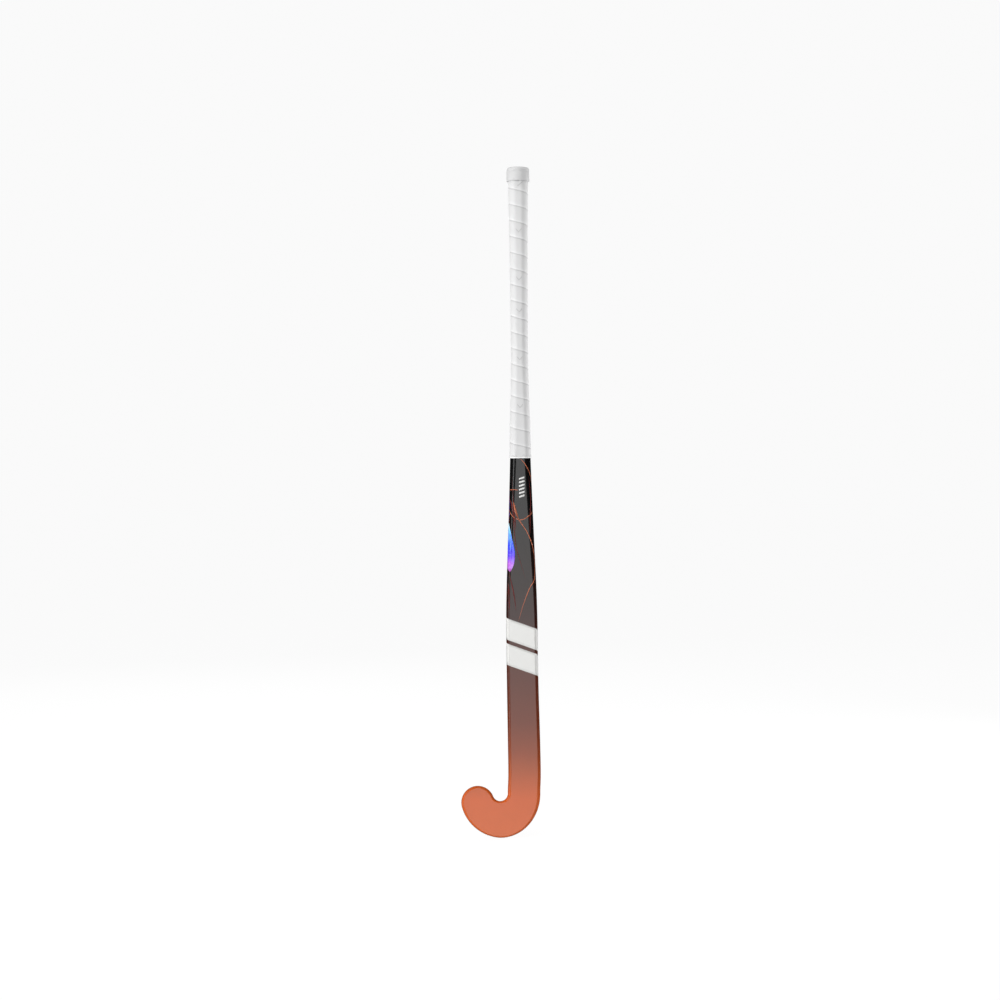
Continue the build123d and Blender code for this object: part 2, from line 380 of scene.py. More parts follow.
def finish_piece(bm, name, material, stands_for=(), merge=1e-6):
    """Turns a bmesh into a piece of the stick that rides on its body."""
    bmesh.ops.remove_doubles(bm, verts=bm.verts, dist=merge)
    bmesh.ops.recalc_face_normals(bm, faces=bm.faces)
    for face in bm.faces:
        face.smooth = True
    mesh = bpy.data.meshes.new(name)
    bm.to_mesh(mesh)
    bm.free()
    mesh.materials.append(material)
    piece = bpy.data.objects.new(name, mesh)
    bpy.context.scene.collection.objects.link(piece)
    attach(piece, "root")
    if stands_for:
        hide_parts(*stands_for)
    return piece


def joined(parts):
    """One bmesh with the shapes of several, which it uses up."""
    whole = bmesh.new()
    for part in parts:
        mesh = bpy.data.meshes.new("part")
        part.to_mesh(mesh)
        part.free()
        whole.from_mesh(mesh)
        bpy.data.meshes.remove(mesh)
    return whole


def film(bm, stick, thickness):
    """Gives open sheets that lie round the stick their thickness, inwards."""
    bm.normal_update()
    inwards = []
    for face in bm.faces:
        centre = face.calc_center_median()
        distance = centre.z
        size = stick.size_at(distance)
        axis = stick.along(distance, size[4]) @ Vector((0.0, size[2] / 2, 0.0))
        if face.normal.dot(centre - axis) < 0.0:
            inwards.append(face)
    bmesh.ops.reverse_faces(bm, faces=inwards)
    bmesh.ops.solidify(bm, geom=bm.faces[:], thickness=thickness)


# ---------------------------------------------------------------- Finishes


class Nodes:
    """Small helper that adds and links shader nodes."""

    def __init__(self, tree):
        self.tree = tree

    def add(self, kind, inputs=None, **settings):
        node = self.tree.nodes.new(kind)
        for key, value in settings.items():
            setattr(node, key, value)
        for key, value in (inputs or {}).items():
            if isinstance(value, bpy.types.NodeSocket):
                self.tree.links.new(value, node.inputs[key])
            else:
                node.inputs[key].default_value = value
        return node

    def maths(self, operation, a, b=0.0, clamp=False):
        return self.add("ShaderNodeMath", {0: a, 1: b}, operation=operation, use_clamp=clamp).outputs[0]

    def ramp(self, value, stops):
        node = self.add("ShaderNodeValToRGB", {"Fac": value})
        elements = node.color_ramp.elements
        while len(elements) < len(stops):
            elements.new(0.5)
        for element, (position, rgb) in zip(elements, stops):
            element.position = position
            element.color = (*rgb, 1.0) if len(rgb) == 3 else rgb
        return node.outputs["Color"]

    def mix(self, share, a, b, blend="MIX"):
        node = self.add("ShaderNodeMix", {0: share, 6: a, 7: b}, data_type="RGBA", blend_type=blend)
        return node.outputs[2]


def new_group(name, inputs, outputs):
    """An empty shader node group with the given float inputs and outputs."""
    group = bpy.data.node_groups.new(name, "ShaderNodeTree")
    for socket, default in inputs:
        made = group.interface.new_socket(socket, in_out="INPUT", socket_type="NodeSocketFloat")
        made.default_value = default
    for socket in outputs:
        group.interface.new_socket(socket, in_out="OUTPUT", socket_type="NodeSocketFloat")
    nodes = Nodes(group)
    return group, nodes, nodes.add("NodeGroupInput"), nodes.add("NodeGroupOutput")


def grain_group():
    """Fine moulded grain: a height made of two sizes of noise."""
    found = bpy.data.node_groups.get("Moulded grain")
    if found:
        return found
    group, n, given, out = new_group("Moulded grain", [("Scale", 900.0), ("Coarse share", 0.35)], ["Height"])
    where = n.add("ShaderNodeTexCoord").outputs["Object"]
    fine = n.add("ShaderNodeTexNoise", {"Vector": where, "Scale": given.outputs["Scale"], "Detail": 3.0})
    wide_scale = n.maths("MULTIPLY", given.outputs["Scale"], 0.13)
    wide = n.add("ShaderNodeTexNoise", {"Vector": where, "Scale": wide_scale, "Detail": 2.0})
    wide_part = n.maths("MULTIPLY", wide.outputs["Fac"], given.outputs["Coarse share"])
    height = n.maths("ADD", fine.outputs["Fac"], wide_part)
    group.links.new(height, out.inputs["Height"])
    return group


def mottle_group():
    """Slow uneven change of tone over a surface, centred on one."""
    found = bpy.data.node_groups.get("Mottle")
    if found:
        return found
    group, n, given, out = new_group("Mottle", [("Scale", 40.0), ("Amount", 0.06)], ["Tone"])
    where = n.add("ShaderNodeTexCoord").outputs["Object"]
    noise = n.add("ShaderNodeTexNoise", {"Vector": where, "Scale": given.outputs["Scale"], "Detail": 4.0})
    centred = n.maths("SUBTRACT", noise.outputs["Fac"], 0.5)
    tone = n.maths("ADD", n.maths("MULTIPLY", centred, given.outputs["Amount"]), 1.0)
    group.links.new(tone, out.inputs["Tone"])
    return group


def start_material(name, **values):
    """A new material with its Principled shader, and the helper to add nodes to it."""
    found = bpy.data.materials.get(name)
    if found:
        return found, None, None
    material = bpy.data.materials.new(name)
    material.use_nodes = True
    tree = material.node_tree
    tree.nodes.clear()
    n = Nodes(tree)
    shader = n.add("ShaderNodeBsdfPrincipled", values)
    out = n.add("ShaderNodeOutputMaterial")
    tree.links.new(shader.outputs["BSDF"], out.inputs["Surface"])
    return material, n, shader


def set_input(n, shader, name, value):
    """Links a value to one of the shader's inputs."""
    n.tree.links.new(value, shader.inputs[name])


def bump(n, height, strength, distance):
    """A normal from a height."""
    node = n.add("ShaderNodeBump", {"Strength": strength, "Distance": distance, "Height": height})
    return node.outputs["Normal"]


def toned(n, rgba, scale, amount):
    """A colour made uneven by the mottle."""
    tone = n.add("ShaderNodeGroup", {"Scale": scale, "Amount": amount}, node_tree=mottle_group())
    level = n.add("ShaderNodeCombineColor", {k: tone.outputs["Tone"] for k in ("Red", "Green", "Blue")})
    return n.mix(1.0, rgba, level.outputs["Color"], "MULTIPLY")


def grain(n, scale, coarse=0.35):
    """Height of the shared moulded grain."""
    node = n.add("ShaderNodeGroup", {"Scale": scale, "Coarse share": coarse}, node_tree=grain_group())
    return node.outputs["Height"]


# Paint of the stick by height above the sole: share of the way to the top stop, and colour
FADE_TOP = 0.46
FADE = (
    (0.053, (0.545, 0.092, 0.010)),
    (0.095, (0.335, 0.060, 0.008)),
    (0.116, (0.240, 0.041, 0.006)),
    (0.157, (0.142, 0.024, 0.005)),
    (0.220, (0.090, 0.016, 0.005)),
    (0.303, (0.030, 0.0055, 0.003)),
    (0.345, (0.014, 0.004, 0.002)),
    (0.408, (0.006, 0.0025, 0.0018)),
)


def lacquered_fade(finish):
    """Paint that fades from orange at the head to black, under clear lacquer."""
    material, n, shader = start_material(
        "Lacquered fade",
        **{"Roughness": 0.42, "Coat Weight": 1.0, "Coat Roughness": finish.lacquer_roughness}
    )
    if n is None:
        return material
    where = n.add("ShaderNodeTexCoord").outputs["Object"]
    height = n.add("ShaderNodeSeparateXYZ", {"Vector": where}).outputs["Z"]
    share = n.maths("DIVIDE", height, FADE_TOP, clamp=True)
    ends = [(0.0, tuple(finish.orange)), (1.0, tuple(finish.black))]
    paint = n.ramp(share, ends[:1] + [(z / FADE_TOP, rgb) for z, rgb in FADE] + ends[1:])
    set_input(n, shader, "Base Color", toned(n, paint, 55.0, 0.10))
    flecks = grain(n, 1500.0)
    rough = n.maths("ADD", n.maths("MULTIPLY", flecks, 0.10), 0.34)
    set_input(n, shader, "Roughness", rough)
    set_input(n, shader, "Normal", bump(n, grain(n, 420.0, 0.6), 0.10, 0.00006))
    return material


def wear_group():
    """Share of small scuffs on a surface: sparse specks broken up by a wider noise."""
    found = bpy.data.node_groups.get("Scuffs")
    if found:
        return found
    group, n, given, out = new_group("Scuffs", [("Scale", 300.0), ("Amount", 0.3)], ["Share"])
    where = n.add("ShaderNodeTexCoord").outputs["Object"]
    stretched = n.add("ShaderNodeMapping", {"Vector": where, "Scale": (1.0, 1.0, 0.25)}).outputs["Vector"]
    specks = n.add("ShaderNodeTexNoise",
                   {"Vector": stretched, "Scale": given.outputs["Scale"], "Detail": 5.0})
    wide = n.add("ShaderNodeTexNoise", {"Vector": where, "Scale": 38.0, "Detail": 2.0})
    sharp = n.add("ShaderNodeMapRange", {"Value": specks.outputs["Fac"], "From Min": 0.62, "From Max": 0.72})
    patch = n.add("ShaderNodeMapRange", {"Value": wide.outputs["Fac"], "From Min": 0.45, "From Max": 0.65})
    both = n.maths("MULTIPLY", sharp.outputs["Result"], patch.outputs["Result"])
    group.links.new(n.maths("MULTIPLY", both, given.outputs["Amount"], clamp=True), out.inputs["Share"])
    return group


def scuffs(n, scale, amount):
    """Share of the shared scuffs."""
    node = n.add("ShaderNodeGroup", {"Scale": scale, "Amount": amount}, node_tree=wear_group())
    return node.outputs["Share"]


def printed_white(finish):
    """White printed film under the lacquer."""
    material, n, shader = start_material(
        "Printed white", **{"Roughness": 0.4, "Coat Weight": 1.0, "Coat Roughness": finish.lacquer_roughness}
    )
    if n is None:
        return material
    colour_out = toned(n, tuple(finish.transfer_white), 90.0, 0.06)
    worn = n.mix(scuffs(n, 420.0, 0.35), colour_out, (0.35, 0.33, 0.32, 1.0))
    set_input(n, shader, "Base Color", worn)
    set_input(n, shader, "Normal", bump(n, grain(n, 420.0, 0.6), 0.08, 0.00005))
    return material


def printed_metallic(name, rgba):
    """Metallic ink under the lacquer."""
    material, n, shader = start_material(
        name, **{"Roughness": 0.42, "Metallic": 0.35, "Coat Weight": 1.0, "Coat Roughness": 0.06}
    )
    if n is None:
        return material
    flakes = n.add("ShaderNodeTexVoronoi",
                   {"Vector": n.add("ShaderNodeTexCoord").outputs["Object"], "Scale": 5200.0})
    flake = n.add("ShaderNodeSeparateColor", {"Color": flakes.outputs["Color"]}).outputs["Red"]
    set_input(n, shader, "Roughness", n.maths("ADD", n.maths("MULTIPLY", flake, 0.2), 0.32))
    set_input(n, shader, "Base Color", toned(n, tuple(rgba), 320.0, 0.35))
    return material


# Colours of the leaf from its foot to its tip
LEAF_FOOT, LEAF_TIP = 0.368, 0.433
LEAF_COLOURS = (
    (0.0, (0.30, 0.045, 0.30)),
    (0.14, (0.42, 0.10, 0.62)),
    (0.30, (0.11, 0.055, 0.78)),
    (0.50, (0.035, 0.060, 0.92)),
    (0.68, (0.045, 0.15, 0.98)),
    (0.84, (0.20, 0.55, 0.98)),
    (1.0, (0.62, 0.86, 0.95)),
)


def leaf_print():
    """Shifting blue and violet ink under the lacquer, with a faint painted glow in its own colour."""
    material, n, shader = start_material(
        "Leaf ink",
        **{"Roughness": 0.4, "Coat Weight": 1.0, "Coat Roughness": 0.06, "Emission Strength": 0.12}
    )
    if n is None:
        return material
    where = n.add("ShaderNodeTexCoord").outputs["Object"]
    axes = n.add("ShaderNodeSeparateXYZ", {"Vector": where}).outputs
    share = n.add("ShaderNodeMapRange",
                  {"Value": axes["Z"], "From Min": LEAF_FOOT, "From Max": LEAF_TIP}).outputs[0]
    swirl = n.add("ShaderNodeTexNoise",
                  {"Vector": where, "Scale": 60.0, "Detail": 2.0, "Distortion": 0.8}).outputs["Fac"]
    moved = n.maths("ADD", share, n.maths("MULTIPLY", n.maths("SUBTRACT", swirl, 0.5), 0.35), clamp=True)
    ink = n.ramp(moved, LEAF_COLOURS)
    light = n.ramp(swirl, [(0.45, (0.0, 0.0, 0.0)), (0.75, (0.10, 0.16, 0.25))])
    ink = n.mix(1.0, ink, light, "ADD")
    set_input(n, shader, "Base Color", ink)
    # Painted glow: the ink's colour also feeds a faint emission, so the leaf glows a little though it is no
    # lamp.
    set_input(n, shader, "Emission Color", ink)
    return material


def glow_print():
    """Deep violet ink that fades to red, under the lacquer."""
    material, n, shader = start_material("Glow ink",
                                         **{"Roughness": 0.4, "Coat Weight": 1.0, "Coat Roughness": 0.06})
    if n is None:
        return material
    where = n.add("ShaderNodeTexCoord").outputs["Object"]
    swirl = n.add("ShaderNodeTexNoise",
                  {"Vector": where, "Scale": 95.0, "Detail": 3.0, "Distortion": 1.2}).outputs["Fac"]
    ink = n.ramp(swirl, [(0.38, (0.02, 0.01, 0.16)), (0.50, (0.13, 0.06, 0.55)), (0.60, (0.30, 0.05, 0.20)),
                         (0.7, (0.18, 0.02, 0.02))])
    set_input(n, shader, "Base Color", ink)
    return material


def cushioned_tape(finish):
    """Soft cushioned tape with a fine pressed grain, with painted shade in its grooves and a painted
    highlight on its raised edges.
    """
    material, n, shader = start_material(
        "Cushioned tape",
        **{"Roughness": 0.55, "Specular IOR Level": 0.35, "Sheen Weight": 0.15, "Sheen Roughness": 0.5}
    )
    if n is None:
        return material
    tape = toned(n, tuple(finish.grip_white), 60.0, 0.05)
    relief = n.add("ShaderNodeAttribute", attribute_name="relief").outputs["Fac"]
    # Painted shade and painted highlight from the relief: darker in the groove between turns, lighter than
    # the tape on the raised edge. Pieces without the relief attribute read 0 and get the groove's painted
    # shade.
    groove_shade_ridge_highlight = n.ramp(relief, [
        (0.0, (0.80, 0.80, 0.80)), (0.30, (0.91, 0.91, 0.91)), (0.5, (0.98, 0.98, 0.98)),
        (0.9, (1.12, 1.12, 1.12)),
    ])
    tape = n.mix(1.0, tape, groove_shade_ridge_highlight, "MULTIPLY")
    grubby = n.mix(scuffs(n, 260.0, 0.22), tape, (0.46, 0.45, 0.44, 1.0))
    set_input(n, shader, "Base Color", grubby)
    pores = n.add("ShaderNodeTexVoronoi",
                  {"Vector": n.add("ShaderNodeTexCoord").outputs["Object"], "Scale": 1500.0})
    height = n.maths("ADD", n.maths("MULTIPLY", pores.outputs["Distance"], 0.8), grain(n, 1100.0, 0.5))
    set_input(n, shader, "Normal", bump(n, height, 0.30, 0.00012))
    set_input(n, shader, "Roughness", n.maths("ADD", n.maths("MULTIPLY", grain(n, 700.0), 0.16), 0.44))
    return material


def rubber(name, rgba, roughness):
    """Moulded rubber with a fine spark-eroded grain."""
    material, n, shader = start_material(name, **{"Roughness": roughness, "Specular IOR Level": 0.45})
    if n is None:
        return material
    base = toned(n, rgba, 80.0, 0.05)
    set_input(n, shader, "Base Color", n.mix(scuffs(n, 300.0, 0.3), base, (0.40, 0.39, 0.38, 1.0)))
    set_input(n, shader, "Normal", bump(n, grain(n, 1500.0), 0.20, 0.00008))
    return material


def cap_rubber(finish):
    return rubber("Cap rubber", tuple(finish.cap_white), 0.42)


def ring_rubber(finish):
    return rubber("Ring rubber", tuple(finish.ring_white), 0.30)


def closed_cell(name, rgba, scale):
    """Closed-cell foam: small cells with painted shade in their sunken middles."""
    material, n, shader = start_material(name, **{"Roughness": 0.85, "Specular IOR Level": 0.25})
    if n is None:
        return material
    cells = n.add("ShaderNodeTexVoronoi",
                  {"Vector": n.add("ShaderNodeTexCoord").outputs["Object"], "Scale": scale})
    # Painted shade: darker towards the middle of each cell, where the bump sinks the surface.
    cell_shade = n.ramp(cells.outputs["Distance"], [(0.0, (0.55, 0.55, 0.55)), (0.45, (1.0, 1.0, 1.0))])
    set_input(n, shader, "Base Color", n.mix(1.0, toned(n, rgba, 60.0, 0.15), cell_shade, "MULTIPLY"))
    set_input(n, shader, "Normal", bump(n, cells.outputs["Distance"], 0.5, 0.0004))
    return material


def woven_laminate():
    """Carbon and glass twill in resin."""
    material, n, shader = start_material("Woven laminate",
                                         **{"Roughness": 0.3, "Coat Weight": 0.6, "Coat Roughness": 0.12})
    if n is None:
        return material
    where = n.add("ShaderNodeTexCoord").outputs["Object"]
    turned = n.add("ShaderNodeMapping", {"Vector": where, "Rotation": (0.0, pi / 4, 0.0)}).outputs["Vector"]
    one = n.add("ShaderNodeTexWave", {"Vector": turned, "Scale": 160.0}, bands_direction="X").outputs["Fac"]
    two = n.add("ShaderNodeTexWave", {"Vector": turned, "Scale": 160.0}, bands_direction="Z").outputs["Fac"]
    woven = n.maths("GREATER_THAN", one, two)
    tone = n.mix(woven, (0.012, 0.012, 0.013, 1.0), (0.045, 0.045, 0.048, 1.0))
    set_input(n, shader, "Base Color", toned(n, tone, 120.0, 0.2))
    set_input(n, shader, "Normal", bump(n, n.maths("ADD", one, two), 0.3, 0.0001))
    return material


def adhesive_film():
    """Double-sided tape: milky film with a fine crease pattern."""
    material, n, shader = start_material("Adhesive film",
                                         **{"Roughness": 0.35, "Coat Weight": 0.4, "Coat Roughness": 0.2})
    if n is None:
        return material
    set_input(n, shader, "Base Color", toned(n, (0.62, 0.55, 0.38, 1.0), 140.0, 0.2))
    set_input(n, shader, "Normal", bump(n, grain(n, 500.0, 1.0), 0.3, 0.0002))
    return material


# ---------------------------------------------------------------- Operators


class StickOperator:
    """What every operator here shares."""

    bl_options = {"REGISTER", "UNDO"}

    def stick(self, context):
        return Stick(context.scene.hockey_shape)


class HOCKEY_OT_body(StickOperator, bpy.types.Operator):
    """Build the moulded shaft and head"""

    bl_idname = "hockey.body"
    bl_label = "Shaft and head"

    def execute(self, context):
        stick = self.stick(context)
        skin = stick.shape.skin
        count = len(whole_section(stick.size_at(stick.butt))) - 1
        shaft_rows, hook_rows, toe_rows = 215, 80, 20
        rings = []
        for n in range(shaft_rows):
            distance = between(stick.butt, stick.crook_height, n / shaft_rows)
            size = stick.size_at(distance)
            rings.append((stick.along(distance, size[4]), whole_section(size, -skin), 0.0))
        for n in range(hook_rows):
            place, size = stick.hook(stick.shape.hook_turn * n / hook_rows)
            rings.append((place, whole_section(size, -skin), 0.0))
        place, size = stick.hook(stick.shape.hook_turn)
        for n in range(toe_rows + 1):
            rings.append((place, whole_section(size, -skin), pi / 2 * n / toe_rows))

        def stand(i, j):
            place, section, fold = rings[j]
            x, y = section[i]
            return place @ Vector((x * cos(fold), y, -abs(x) * sin(fold)))

        bm = grid(count, len(rings) - 1, stand)
        bmesh.ops.remove_doubles(bm, verts=bm.verts, dist=2e-6)
        bmesh.ops.holes_fill(bm, edges=[e for e in bm.edges if e.is_boundary], sides=0)
        finish = context.scene.hockey_finish
        finish_piece(bm, "painted_stick", lacquered_fade(finish), ["outer_shell"])
        return {"FINISHED"}


class HOCKEY_OT_transfers(StickOperator, bpy.types.Operator):
    """Print the bars, the dashes, the pinstripes and the leaf on the shaft"""

    bl_idname = "hockey.transfers"
    bl_label = "Printed transfers"

    # Places on the shaft: share of the half width towards the heel side, and distance in millimetres
    STRIPES = (
        ((-0.02, 524.3), (0.30, 519.5), (0.60, 512.5), (0.86, 503.0), (0.97, 493.0), (1.04, 478.0),
         (1.05, 462.0)),
        ((-1.10, 477.5), (-0.98, 480.6), (-0.60, 481.4), (-0.25, 480.6)),
        ((-1.12, 457.0), (-0.90, 449.6), (-0.60, 443.2), (-0.18, 439.6), (0.14, 439.6), (0.36, 441.4),
         (0.92, 449.2), (1.15, 455.0)),
        ((-0.58, 462.0), (-0.39, 449.0), (-0.17, 439.8), (0.16, 430.8), (0.47, 422.0), (0.71, 411.5),
         (0.87, 399.5), (0.95, 384.0), (0.93, 364.5), (0.82, 353.4), (0.54, 344.0), (0.14, 323.0),
         (-0.22, 298.0)),
        ((-1.16, 520.0), (-1.05, 490.0), (-1.00, 462.0), (-0.97, 440.0), (-1.05, 425.0)),
        ((-1.20, 366.0), (-1.02, 356.0), (-0.98, 338.0), (-1.02, 318.0), (-1.16, 306.0)),
        ((1.30, 470.0), (1.18, 440.0), (1.22, 405.0), (1.12, 372.0), (1.20, 335.0)),
    )
    FAINT = (
        (((-0.98, 470.0), (-0.80, 462.0), (-0.66, 452.0), (-0.52, 442.0), (-0.40, 425.0)), 3.2),
        (((-0.80, 500.0), (-0.66, 470.0), (-0.58, 436.0), (-0.40, 404.0), (-0.06, 380.0), (0.30, 356.0)),
         1.0),
        (((-0.86, 366.0), (-0.66, 350.0), (-0.48, 332.0), (-0.36, 312.0)), 1.6),
        (((-0.90, 352.0), (-0.82, 334.0), (-0.80, 312.0)), 2.4),
        (((0.72, 500.0), (0.84, 470.0), (0.74, 440.0), (0.70, 420.0)), 1.4),
        (((0.96, 430.0), (0.99, 400.0), (1.0, 370.0), (0.98, 345.0)), 2.2),
    )
    WEDGE = ((-0.64, 465.0), (-0.55, 459.0), (-0.44, 452.0), (-0.30, 445.0), (-0.17, 439.8))
    LEAF = (
        (-0.97, 435.0), (-0.86, 426.0), (-0.70, 414.0), (-0.54, 402.0), (-0.46, 392.0), (-0.50, 380.0),
        (-0.66, 370.5),
        (-0.80, 367.0),
    )
    LEAF_SIDE = (
        (-1.00, 435.0), (-1.25, 424.0), (-1.50, 410.0), (-1.60, 396.0), (-1.40, 384.0), (-1.12, 375.0),
        (-0.92, 369.5),
        (-0.82, 367.0),
    )
    GLOW = (
        (((-1.10, 484.0), (-0.99, 466.0), (-0.97, 450.0), (-1.00, 434.0)), 4.4),
        (((-1.02, 372.0), (-1.00, 350.0), (-1.04, 328.0), (-1.14, 306.0)), 3.0),
    )

    # The column of dashes below the grip, in millimetres
    DASHES = 6
    DASH_FOOT = 470.6
    DASH_SPACING = 5.0

    def execute(self, context):
        stick = self.stick(context)
        self.stick_now = stick
        finish = context.scene.hockey_finish
        self.sizes = context.scene.hockey_transfers
        self.bars(stick, printed_white(finish))
        self.dashes(stick, printed_white(finish))
        copper = printed_metallic("Copper transfer", finish.transfer_copper)
        faint = printed_metallic("Dark copper transfer", finish.transfer_faint)
        stripes = [self.stripe(stick, path, 0.9 if n > 3 else 1.0) for n, path in enumerate(self.STRIPES)]
        stripes.append(self.stripe(stick, self.WEDGE, 2.6, True))
        self.print_piece(joined(stripes), "pinstripes", copper)
        brushed = [self.stripe(stick, path, widths, True) for path, widths in self.FAINT]
        self.print_piece(joined(brushed), "brushed_stripes", faint)
        self.leaf(stick)
        return {"FINISHED"}

    def print_piece(self, bm, name, material):
        film(bm, self.stick_now, self.sizes.thickness)
        finish_piece(bm, name, material)

    def lift(self):
        return self.sizes.thickness * 0.75 - bpy.context.scene.hockey_shape.skin

    def bars(self, stick, material):
        """Slanted bars that wrap round both edges of the shaft."""
        sizes = self.sizes
        side = run_to(stick.size_at(sizes.bars_top), 1.22)
        bars = []
        for n in range(sizes.bar_count):
            top = sizes.bars_top - n * (sizes.bar_height + sizes.bar_gap)

            def place(i, j, top=top):
                run = side * (i / 36 - 1)
                distance = top - sizes.bar_height * j / 8 - run * sizes.bar_slant
                return on_shaft(stick, run, distance, self.lift())

            bars.append(grid(72, 8, place))
        self.print_piece(joined(bars), "white_bars", material)

    def dashes(self, stick, material):
        """A column of small slanted dashes below the grip."""
        dashes = []
        for n in range(self.DASHES):
            foot = (self.DASH_FOOT + n * self.DASH_SPACING) * MM

            def place(i, j, foot=foot):
                run = (-2.2 + 7.6 * i / 8) * MM
                return on_shaft(stick, run, foot + 2.5 * MM * j / 2 + run * 0.30, self.lift())

            dashes.append(grid(8, 2, place))
        self.print_piece(joined(dashes), "white_dashes", material)

    def stripe(self, stick, path, widths=1.0, tapered=False):
        """A pinstripe along a path of shares of the half width and distances."""
        places = smooth_path(on_surface(stick, path), len(path) * 14)
        half = self.sizes.stripe_width * widths / 2
        last = len(places) - 1

        def place(i, j):
            (r0, d0), (r1, d1) = places[max(j - 1, 0)], places[min(j + 1, last)]
            reach = ((r1 - r0) ** 2 + (d1 - d0) ** 2) ** 0.5
            taper = sin(pi * j / last) if tapered else min(1.0, 6 * j / last + 0.15,
                                                           6 * (last - j) / last + 0.15)
            aside = half * taper * (i - 1) / reach
            return on_shaft(stick, places[j][0] + (d1 - d0) * aside, places[j][1] - (r1 - r0) * aside,
                            self.lift())

        return grid(2, last, place)

    def leaf(self, stick):
        """A leaf round the toe-side edge of the shaft."""
        inner = smooth_path(on_surface(stick, self.LEAF), 60)
        outer = smooth_path(on_surface(stick, self.LEAF_SIDE), 60)

        def place(i, j):
            run = between(outer[j][0], inner[j][0], i / 24)
            distance = between(outer[j][1], inner[j][1], i / 24)
            return on_shaft(stick, run, distance, self.lift())

        self.print_piece(grid(24, 60, place), "leaf", leaf_print())
        glow = [self.stripe(stick, path, widths, True) for path, widths in self.GLOW]
        self.print_piece(joined(glow), "leaf_glow", glow_print())


class HOCKEY_OT_grip(StickOperator, bpy.types.Operator):
    """Wind the cushioned tape round the handle"""

    bl_idname = "hockey.grip"
    bl_label = "Grip tape"

    # Height of the tape across one turn, upwards: share of the pitch, share of the groove, share of the ridge
    ACROSS = (
        (0.0, 0.9, 0.0), (0.022, 1.0, 0.0), (0.036, 0.6, 0.0), (0.046, 0.0, 0.55), (0.058, 0.0, 0.92),
        (0.075, 0.0, 1.0),
        (0.10, 0.0, 0.92), (0.13, 0.0, 0.62), (0.165, 0.0, 0.36), (0.21, 0.0, 0.24), (0.36, 0.0, 0.16),
        (0.5, 0.0, 0.13),
        (0.64, 0.0, 0.12), (0.78, 0.0, 0.10), (0.90, 0.0, 0.05), (0.95, 0.10, 0.0), (0.98, 0.55, 0.0),
        (1.0, 0.9, 0.0),
    )

    # Raised lines on the tape, in millimetres: runs from the middle of the front, and distances or rises
    CHEVRON = ((-4.0, 2.6), (0.0, -1.8), (4.0, 2.6))
    TAPE_START = ((7.6, 907.0), (4.6, 904.8), (1.6, 902.4), (-1.2, 900.2))
    LINE_HALF_WIDTH = 0.75
    LINE_HEIGHT = 0.16
    FIRST_MARK = 1.04  # place of the first chevron below the cap, as a share of the spacing

    def handle_point(self, stick, share, distance, lift):
        """A point round the handle by its share of the way round, starting on the middle of the front."""
        size = stick.size_at(min(max(distance, stick.grip_end - 0.03), stick.butt))
        section = half_section(size, lift)
        share = (share + 0.5) % 1.0 - 0.5
        x, y = point_on(section, 2 * share * half_way_round(section) * 0.999999)
        return stick.along(distance, size[4]) @ Vector((x, y, 0.0))

    def execute(self, context):
        stick = self.stick(context)
        winding = context.scene.hockey_winding
        shape = context.scene.hockey_shape
        foot = stick.grip_end + shape.ring_height + 0.1 * MM
        top = stick.butt - shape.cap_skirt - 0.1 * MM
        columns = winding.columns
        phase = winding.first_ridge % winding.pitch
        start = phase + winding.pitch * (int(top / winding.pitch) + 2)
        turns = int((start - foot) / winding.pitch) + 3
        heights = [winding.outside - winding.groove * groove + winding.ridge * ridge for _, groove,
                   ridge in self.ACROSS]

        def place(i, j):
            distance = start + (self.ACROSS[j][0] - i / columns) * winding.pitch
            return self.handle_point(stick, i / columns, distance, heights[j])

        # Relief of each row across a turn, 0 in the groove and 1 on the ridge; the tape's colour turns it
        # into painted shade and painted highlight.
        relief = [0.5 + 0.5 * (ridge - groove) for _, groove, ridge in self.ACROSS]
        bm = grid(columns * turns, len(heights) - 1, place, relief)
        bmesh.ops.remove_doubles(bm, verts=bm.verts, dist=3e-6)
        for distance, up in ((foot, -1), (top, 1)):
            plane = stick.along(distance)
            bmesh.ops.bisect_plane(
                bm, geom=bm.verts[:] + bm.edges[:] + bm.faces[:], dist=1e-6, plane_co=plane.translation,
                plane_no=plane.to_3x3() @ Vector((0, 0, up)), clear_outer=True,
            )
        film(bm, stick, winding.wall)
        finish = context.scene.hockey_finish
        finish_piece(bm, "wound_grip", cushioned_tape(finish), ["grip_wrap"])
        self.marks(stick, winding, foot, top, cushioned_tape(finish))
        return {"FINISHED"}

    def raised_line(self, stick, winding, path):
        """A raised line on the tape along a path of runs and distances in millimetres."""
        steps = 4
        last = len(path) - 2

        def place(i, j):
            k = min(j // steps, last)
            share = j / steps - k
            run = between(path[k][0], path[k + 1][0], share) * MM
            distance = (between(path[k][1], path[k + 1][1], share) + (i - 1) * self.LINE_HALF_WIDTH) * MM
            size = stick.size_at(distance)
            x, y = point_on(half_section(size, winding.outside + self.LINE_HEIGHT * MM), run)
            return stick.along(distance, size[4]) @ Vector((x, y, 0.0))

        return grid(2, steps * (len(path) - 1), place)

    def marks(self, stick, winding, foot, top, material):
        """Small chevrons down the front, each in the middle of a turn, and the cut where the tape starts."""
        lines = [self.raised_line(stick, winding, self.TAPE_START)]
        for n in range(int((top - foot) / winding.mark_spacing) + 1):
            middle = top - (self.FIRST_MARK + n) * winding.mark_spacing
            turn = round((winding.first_ridge - middle) / winding.pitch - 0.5)
            middle = winding.first_ridge - (turn + 0.5) * winding.pitch
            if middle > foot + 6 * MM:
                path = [(run, middle / MM + up) for run, up in self.CHEVRON]
                lines.append(self.raised_line(stick, winding, path))
        bm = joined(lines)
        film(bm, stick, 0.2 * MM)
        finish_piece(bm, "grip_marks", material)


